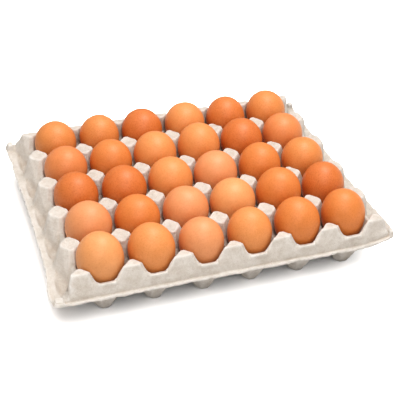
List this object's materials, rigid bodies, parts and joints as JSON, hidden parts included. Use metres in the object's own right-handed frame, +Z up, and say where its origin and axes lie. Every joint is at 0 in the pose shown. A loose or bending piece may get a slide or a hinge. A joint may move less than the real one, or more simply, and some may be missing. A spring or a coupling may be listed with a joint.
{
  "type": "egg tray with eggs",
  "caption": "Moulded pulp egg tray with a brown hen's egg standing in every cup, flat-topped posts between them and a turned-out rim.",
  "frame": {"origin": "on the floor, under the middle of the tray, its rim included", "axes": "+X along the tray's long side, +Y towards its back, +Z up"},
  "size_m": [0.3158, 0.2568, 0.0751],
  "materials": {
    "pulp": "moulded pulp, matt, off-white",
    "pale_shell": "eggshell, pale brown, faint sheen",
    "tan_shell": "eggshell, tan, faint sheen",
    "rosy_shell": "eggshell, rosy brown, faint sheen",
    "orange_shell": "eggshell, orange brown, faint sheen",
    "deep_shell": "eggshell, deep red brown, faint sheen"
  },
  "bodies": {
    "root": {"tray": "pulp", "egg_row1_col1": "tan_shell", "egg_row1_col2": "tan_shell", "egg_row1_col3": "tan_shell", "egg_row1_col4": "tan_shell", "egg_row1_col5": "orange_shell", "egg_row1_col6": "deep_shell", "egg_row2_col1": "pale_shell", "egg_row2_col2": "orange_shell", "egg_row2_col3": "rosy_shell", "egg_row2_col4": "pale_shell", "egg_row2_col5": "orange_shell", "egg_row2_col6": "deep_shell", "egg_row3_col1": "deep_shell", "egg_row3_col2": "deep_shell", "egg_row3_col3": "tan_shell", "egg_row3_col4": "pale_shell", "egg_row3_col5": "tan_shell", "egg_row3_col6": "tan_shell", "egg_row4_col1": "pale_shell", "egg_row4_col2": "orange_shell", "egg_row4_col3": "tan_shell", "egg_row4_col4": "tan_shell", "egg_row4_col5": "orange_shell", "egg_row4_col6": "pale_shell", "egg_row5_col1": "orange_shell", "egg_row5_col2": "tan_shell", "egg_row5_col3": "deep_shell", "egg_row5_col4": "tan_shell", "egg_row5_col5": "orange_shell", "egg_row5_col6": "tan_shell"}
  },
  "joints": []
}
